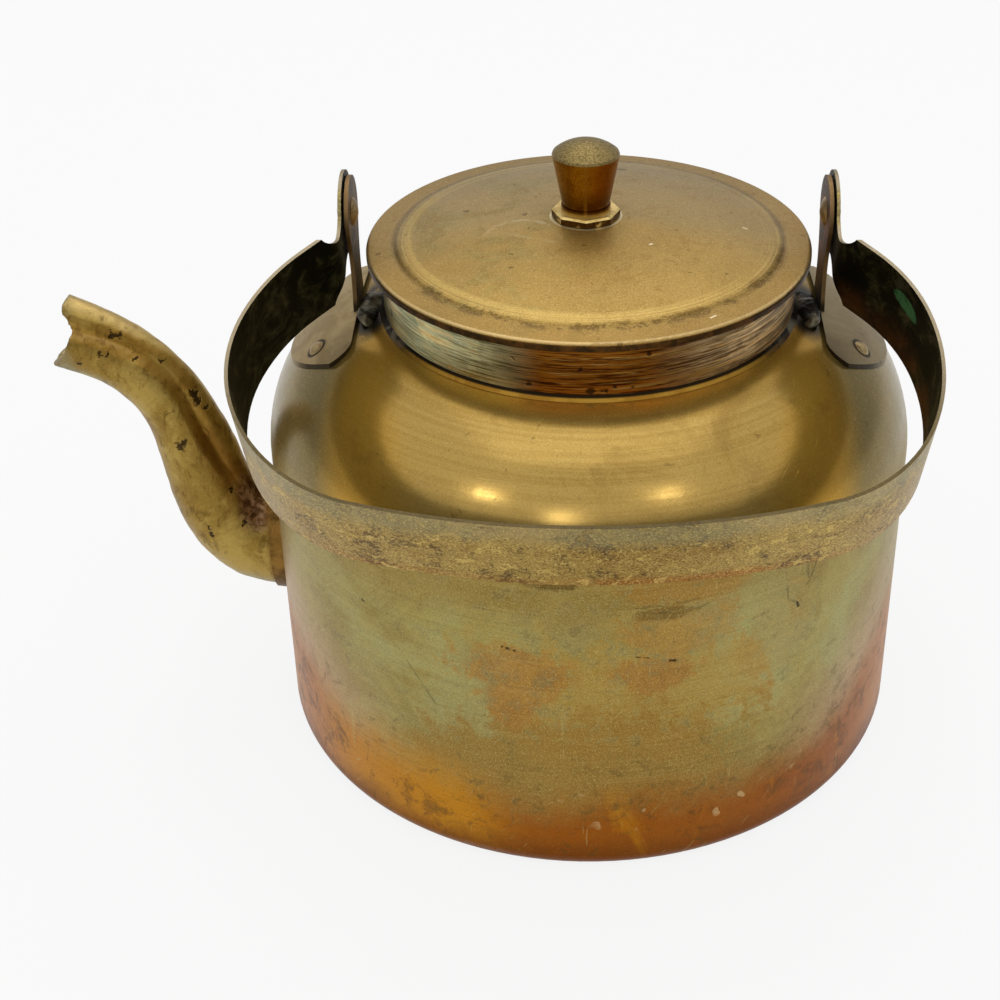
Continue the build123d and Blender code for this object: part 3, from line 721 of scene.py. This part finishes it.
def strap_finish():
    material, start = new_finish("strap_brass")
    spot, x, y, z, out, angle = whereabouts(start)
    turn = abs(angle)
    normal = start.node("TexCoord", output=1)
    facing = [normal.node("SeparateXYZ", None, {"Vector": normal}, axis) for axis in range(3)]
    inside = spread(facing[0] * x + facing[1] * y, 0.004, -0.004)

    # How far up a place is from the middle of the strap's width, with the bail at rest.
    across = (z - pivot_level) * math.cos(droop) - y * math.sin(droop)
    cloud = noise(spot, 26.0, 5.0, 0.65, 0.8)
    blotch = noise(shift(spot, (2, 6, 4)), 64.0, 8.0, 0.7, 1.2)
    fleck = noise(shift(spot, (6, 1, 2)), 230.0, 5.0, 0.75, 0.6)
    grain = noise(spot, 1700.0, 3.0, 0.7)

    # The outer face: greyer at its ends and along its upper half, warm at its lower edge.
    far = spread(turn, 0.55, 1.05)
    dull = spread(cloud + (fleck - 0.5) * 0.6, 0.42, 0.60)
    shade = over(colour(170, 142, 72), colour(148, 116, 48), dull)
    shade = over(shade, colour(164, 144, 104), far * 0.75)
    pitted = spread(blotch + (fleck - 0.5) * 0.7, 0.54, 0.60)
    shade = over(shade, colour(88, 62, 24), pitted * 0.8)
    lower = spread(across + (blotch - 0.5) * 0.005, -0.0095, -0.0128)
    warm = patch(angle, across, (13, -0.0120), (0.026, 0.0060), (blotch - 0.5) * 1.6)
    shade = over(shade, colour(160, 96, 12), lower * either(warm, 0.34 * (1 - far)) * 0.7)
    rubbed = across + (blotch - 0.5) * 0.010 + (cloud - 0.5) * 0.012 + (fleck - 0.5) * 0.004
    upper = spread(rubbed, 0.0030, 0.0100) * 0.55
    grey = over(colour(156, 142, 102), colour(132, 132, 96), spread(cloud, 0.42, 0.58))
    shade = over(shade, grey, upper)
    stained = spread(blotch + (fleck - 0.5) * 0.9, 0.58, 0.66)
    shade = over(shade, colour(112, 84, 44), stained * upper)
    bare = 1 - upper
    shade = over(shade, colour(224, 194, 108), spread(fleck, 0.53, 0.62) * 0.65 * bare)
    shade = over(shade, colour(224, 198, 126), spread(grain, 0.54, 0.64) * 0.5)
    shade = over(shade, colour(64, 46, 18), spread(grain, 0.47, 0.37) * 0.65 * bare)

    # The inner face: black with soot, a rusty lower edge and a green spot at one side.
    sooty = spread(blotch + (fleck - 0.5) * 0.5, 0.46, 0.72)
    dark = over(colour(20, 20, 11), colour(84, 82, 54), sooty)
    rust = spread(angle, 0.85, 1.15) * spread(across, 0.000, -0.010) * spread(cloud, 0.4, 0.6)
    dark = over(dark, colour(110, 66, 26), rust * 0.8)
    from_spot = ((y + 0.0385) / 0.0046) ** 2.0 + ((across - 0.0062) / 0.0030) ** 2.0
    green = spread(from_spot + (blotch - 0.5) * 2.0, 1.1, 0.6) * spread(x, 0.0, 0.05)
    dark = over(dark, colour(84, 146, 100), green * spread(fleck, 0.34, 0.52) * 0.8)
    shade = over(shade, dark, inside)
    rim = over(colour(84, 72, 50), colour(160, 146, 122), spread(turn, 0.75, 1.05))
    shade = over(shade, rim, spread(abs(facing[2]), 0.75, 0.88) * 0.85)

    rough = 0.40 + (fleck - 0.5) * 0.25 + inside * 0.15
    relief = grain * 0.3 + fleck * 0.7 + blotch * 1.0
    return metal(material, start, shade, rough, 0.92 - inside * 0.2, relief, 0.0002, 0.08)


dress(strap_finish(), "bail_strap")


# The lid is a pressed dome of thin sheet with a flat band round it, turned down at the
# edge, and a ring soldered under it that drops inside the neck. It is satin and brown,
# with a painted highlight round the edge of the dome, and pitted in the angle of the band.
lid_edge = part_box("lid_disc")[1].x
lid_band = 0.0081
knob_middle = sum(corner.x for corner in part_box("knob")) / 2


def loop(across, up, centre, radius, width):
    """A mark along a circle, for a curved scratch."""
    off_x, off_y = across - centre[0], up - centre[1]
    off = (off_x * off_x + off_y * off_y) ** 0.5 - radius
    return spread(abs(off), width, width * 0.35)


def lid_finish():
    material, start = new_finish("lid_brass")
    spot, x, y, z, out, angle = whereabouts(start)
    cloud = noise(spot, 14.0, 5.0, 0.6, 0.6)
    mottle = noise(spot, 60.0, 6.0, 0.7, 0.8)
    fleck = noise(shift(spot, (3, 2, 2)), 260.0, 5.0, 0.75, 0.5)
    grain = noise(spot, 2200.0, 3.0, 0.7)
    normal = start.node("TexCoord", output=1)
    upward = start.node("SeparateXYZ", None, {"Vector": normal}, 2)
    lines = lathe_marks(start, x, y, out, 10.0, 30.0, 4.0)
    fine_lines = lathe_marks(start, x, y, out, 16.0, 200.0, 4.0)
    front = spread(y, -0.005, -0.03)

    # Satin brown, greyer at the sides and the back, greener to the left, and darker at the back
    # with painted shade.
    shade = over(colour(184, 150, 80), colour(166, 134, 70), spread(cloud, 0.42, 0.62))
    shade = over(shade, colour(164, 140, 96), spread(abs(angle), 1.0, 1.7) * 0.7)
    greener = spread(mottle, 0.46, 0.62) * spread(x, 0.02, -0.03)
    shade = over(shade, colour(148, 138, 80), greener * 0.5)
    browner = spread(mottle + (fleck - 0.5) * 0.8, 0.52, 0.66)
    shade = over(shade, colour(146, 108, 48), browner * 0.4)
    # Painted shade: darker towards the back.
    shade = over(shade, colour(128, 112, 74), spread(y, 0.010, 0.055) * 0.5)

    # The angle between dome and band: a pale streaked ring just inside it, painted highlight,
    # a thin line of painted shade along it, and pits and smudges along it.
    off_band = out - (lid_edge - lid_band)
    gap = abs(off_band)
    # Painted highlight: a pale streaked ring just inside the angle.
    crease_highlight = spread((off_band + 0.0030) ** 2.0, 0.000012, 0.000001)
    crease_highlight = crease_highlight * spread(fine_lines + (lines - 0.5) * 0.6, 0.42, 0.58)
    shade = over(shade, colour(214, 182, 104), crease_highlight * 0.5)
    pits = spread(fleck + (mottle - 0.5) * 0.8, 0.50, 0.58)
    pits = pits * spread(gap, 0.0028, 0.0008) * front
    shade = over(shade, colour(92, 66, 28), pits * 0.6)
    smudge = spread(mottle, 0.42, 0.60) * spread(gap, 0.0036, 0.0010)
    smudge = smudge * spread(abs(x), 0.028, 0.045)
    shade = over(shade, colour(100, 72, 32), smudge * 0.28)
    # Painted shade: a thin dark line along the angle.
    shade = over(shade, colour(110, 82, 38), spread(gap, 0.0014, 0.0003) * 0.45)
    shade = over(shade, colour(160, 124, 62), spread(off_band, 0.0005, 0.0025) * 0.5)
    shade = over(shade, colour(222, 196, 126), spread(grain, 0.53, 0.64) * 0.34)
    shade = over(shade, colour(108, 80, 36), spread(grain, 0.47, 0.36) * 0.36)
    specks = spread(noise(shift(spot, (8, 8, 8)), 300.0, 1.0), 0.74, 0.77)
    shade = over(shade, colour(80, 56, 20), specks * 0.6)

    # Round the knob's washer the lid is darker in patches, painted shade of the knob, with a
    # thin pale ring of polish residue.
    from_knob = ((x - knob_middle) ** 2.0 + y * y) ** 0.5
    dull = spread(from_knob, 0.020, 0.011) * spread(mottle, 0.40, 0.60)
    shade = over(shade, colour(126, 102, 56), dull * 0.3)
    residue = spread(abs(from_knob - 0.0102), 0.0006, 0.0002)
    shade = over(shade, colour(236, 222, 180), residue * 0.6)

    # A pale swirl where a cloth was turned, small bright nicks and one dark mark.
    swirl = loop(x, y, (-0.0200, -0.0120), 0.0098, 0.0012) * spread(y, -0.0120, -0.0060)
    swirl = either(swirl, stroke(x, y, (-0.0120, -0.0060), (-0.0080, -0.0150), 0.0012))
    fainter = stroke(x, y, (-0.0280, -0.0080), (-0.0100, -0.0170), 0.0010) * 0.6
    swirl = either(swirl, fainter) * spread(fleck + (mottle - 0.5) * 0.8, 0.42, 0.62)
    shade = over(shade, colour(214, 196, 156), swirl * 0.35)
    nicks = strokes(x, y, (
        ((0.0450, 0.0002), (0.0462, -0.0004), 0.0004),
        ((0.0172, -0.0176), (0.0178, -0.0172), 0.0005),
        ((0.0326, -0.0510), (0.0340, -0.0498), 0.0004),
    ))
    shade = over(shade, colour(246, 234, 200), nicks * 0.8)
    mark = stroke(x, y, (0.0090, 0.0434), (0.0110, 0.0434), 0.0016)
    shade = over(shade, colour(84, 60, 24), mark * 0.7)

    # A bright line along the front of the rim is painted highlight, and the turned-down edge
    # is dark with painted shade.
    shine = spread(out, lid_edge - 0.0013, lid_edge - 0.0006) * spread(upward, 0.5, 0.8)
    shade = over(shade, colour(244, 216, 160), shine * front * 0.45)
    rolled = spread(upward, 0.55, 0.25) * spread(out, lid_edge - 0.004, lid_edge - 0.002)
    brown = over(colour(96, 56, 20), colour(36, 20, 8), spread(fleck, 0.40, 0.60))
    shade = over(shade, brown, rolled * 0.9)

    rough = 0.42 + (fleck - 0.5) * 0.16 + (cloud - 0.5) * 0.08
    step = spread(off_band, 0.0006, -0.0020)
    relief = fine_lines * 0.10 + grain * 0.08 + fleck * 0.2 - pits * 1.0 + step * 9.0
    return metal(material, start, shade, rough, 0.78, relief, 0.00008)


dress(lid_finish(), "lid_disc", "lid_plug_ring")


# The knob is turned from bar: a plain flared cone, dark amber, with a low crown that
# fingers have worn pale and grainy. It stands on a cut washer with eight corners.
knob_low, knob_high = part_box("knob")
crown_depth = 0.0044
knob_off_centre = 0.0009


def knob_finish():
    material, start = new_finish("knob_brass")
    spot, x, y, z, out, angle = whereabouts(start)
    beside = x + knob_off_centre
    cloud = noise(spot, 160.0, 4.0, 0.6, 0.5)
    fleck = noise(spot, 1700.0, 4.0, 0.75)
    bars = noise(stretch(spot, (1.0, 1.0, 0.06)), 420.0, 3.0)
    dull = spread(cloud + (fleck - 0.5) * 0.8, 0.42, 0.62)
    shade = over(colour(172, 124, 30), colour(142, 96, 18), dull)
    # Painted shade: the right half of the cone is darker and redder.
    shade = over(shade, colour(150, 82, 12), spread(beside, 0.0, 0.004) * 0.6)
    # Painted shade: darker towards the bottom, on the neck under the flare.
    neck = spread(z, knob_low.z + 0.010, knob_low.z + 0.002)
    shade = over(shade, colour(66, 34, 4), neck * 0.75)
    # Painted highlight: a pale streak down the middle of the cone.
    centre_highlight = spread(beside, 0.0006, 0.0) * spread(beside, -0.0010, 0.0)
    shade = over(shade, colour(170, 128, 56), centre_highlight * 0.5)
    crown_level = knob_high.z - crown_depth
    crown = spread(z, crown_level, crown_level + 0.0005)
    top = over(colour(150, 130, 82), colour(96, 80, 44), spread(fleck, 0.42, 0.66))
    shade = over(shade, top, crown)
    foot = spread(z, knob_low.z + 0.0012, knob_low.z + 0.0002)
    shade = over(shade, colour(180, 156, 96), foot * 0.9)
    rough = 0.30 + (fleck - 0.5) * 0.2 + crown * 0.16
    relief = fleck * (0.3 + crown * 0.6) + bars * 0.05
    return metal(material, start, shade, rough, 1.0, relief, 0.0001)


def hardware_finish():
    """Bright turned brass whose side faces are darker in patches, dirt and painted shade, for
    the washers, the stud and the nut.
    """
    material, start = new_finish("hidden_brass")
    spot = start.node("TexCoord", output=3)
    normal = start.node("TexCoord", output=1)
    upward = normal.node("SeparateXYZ", None, {"Vector": normal}, 2)
    cloud = noise(spot, 200.0, 4.0, 0.6, 0.5)
    grain = noise(spot, 900.0, 4.0, 0.7)
    shade = over(colour(240, 210, 136), colour(204, 172, 102), spread(cloud, 0.42, 0.62))
    # Dirt and painted shade: faces that don't point up are darker, in patches.
    dirt_and_shade = spread(upward, 0.35, 0.15) * spread(cloud, 0.36, 0.5)
    shade = over(shade, colour(84, 56, 20), dirt_and_shade)
    rough = 0.38 + (grain - 0.5) * 0.3
    relief = grain * 0.5 + cloud * 0.5
    return metal(material, start, shade, rough, 0.85, relief, 0.00018)


dress(knob_finish(), "knob")
dress(hardware_finish(), "knob_washer", "knob_stud", "under_washer", "knob_nut")


# The kettle stands on a plain pale floor in soft studio light. The world is dim at the
# sides, brighter behind and brightest overhead, as a tent with a soft ceiling is, but
# the eye sees plain white behind the kettle.
white = 0.972
bpy.ops.object.select_all(action="DESELECT")
bpy.ops.mesh.primitive_plane_add(size=6.0, location=(0.0, 0.0, 0.0))
floor = bpy.context.object
floor.name = "floor"


def floor_finish():
    """Paper that takes a shadow, and that looks white to the eye and in the brass."""
    material, start = new_finish("floor_paper")
    paper = start.node("BsdfDiffuse", None, {"Color": (0.9, 0.9, 0.9, 1.0)})
    glow = start.node("Emission", None, {"Color": (white, white, white, 1.0), "Strength": 1.0})
    seen = start.node("LightPath", output=0)
    mirrored = start.node("LightPath", output=3)
    passed = start.node("LightPath", output=6)
    share = either(either(seen, mirrored), passed) * 0.88
    shader = start.node("MixShader", None, {0: share, 1: paper, 2: glow})
    start.node("OutputMaterial", None, {"Surface": shader})
    return material


floor.data.materials.append(floor_finish())

world = bpy.data.worlds.new("studio")
bpy.context.scene.world = world
world.use_nodes = True
world.node_tree.nodes.clear()
sky = Wire(world.node_tree)
direction = sky.node("TexCoord", output=0)
up = direction.node("SeparateXYZ", None, {"Vector": direction}, 2)
back = direction.node("SeparateXYZ", None, {"Vector": direction}, 1)
ceiling = spread(up, 0.38, 0.52)
behind = spread(back, 0.30, 0.75)
level = 0.40 + either(ceiling * 0.42, behind * 0.18)
seen = sky.node("LightPath", output=0)
level = level + (white - level) * seen
light = sky.node("CombineColor", None, {"Red": level, "Green": level, "Blue": level})
glow = sky.node("Background", None, {"Color": light, "Strength": 1.0})
sky.node("OutputWorld", None, {"Surface": glow})

# Two broad soft lights hang above and behind, and three small ones in front put the
# highlights on the shoulder.
kettle_middle = Vector((0.0, 0.0, 0.1))


def add_lamp(name, towards, distance, size, power):
    """A soft light of a width and height, in a direction from the kettle and facing it."""
    place = kettle_middle + Vector(towards).normalized() * distance
    lamp = bpy.data.lights.new(name, "AREA")
    lamp.shape = "RECTANGLE"
    lamp.size, lamp.size_y = size
    lamp.energy = power
    holder = bpy.data.objects.new(name, lamp)
    bpy.context.scene.collection.objects.link(holder)
    holder.location = place
    holder.rotation_euler = (kettle_middle - place).to_track_quat("-Z", "Y").to_euler()


add_lamp("ceiling_light", (0.0, 0.1, 1.0), 1.4, (1.2, 1.2), 3.0)
add_lamp("back_window", (0.0, 0.55, 0.84), 1.4, (0.9, 0.14), 1.6)
add_lamp("left_window", (-0.5, -0.57, 0.65), 1.6, (0.10, 0.05), 0.8)
add_lamp("middle_window", (-0.14, -0.82, 0.56), 1.6, (0.12, 0.05), 0.7)
add_lamp("right_window", (0.38, -0.60, 0.71), 1.6, (0.08, 0.05), 0.7)

# The camera looks down on the kettle from the front at 34 degrees, a little over half a
# metre off, with the lens shifted so that the spout and the pot fill the frame.
camera_data = bpy.data.cameras.new("camera")
camera_data.sensor_width = 36.0
camera_data.lens = 59.4
camera_data.shift_x = -0.089
camera_data.shift_y = 0.013
camera_data.clip_start = 0.01
camera = bpy.data.objects.new("camera", camera_data)
bpy.context.scene.collection.objects.link(camera)
aim = Vector((0.0, 0.0, 0.06))
camera.location = (0.0, -0.4455, 0.3633)
camera.rotation_euler = (aim - camera.location).to_track_quat("-Z", "Y").to_euler()
bpy.context.scene.camera = camera
bpy.context.scene.view_settings.view_transform = "Standard"
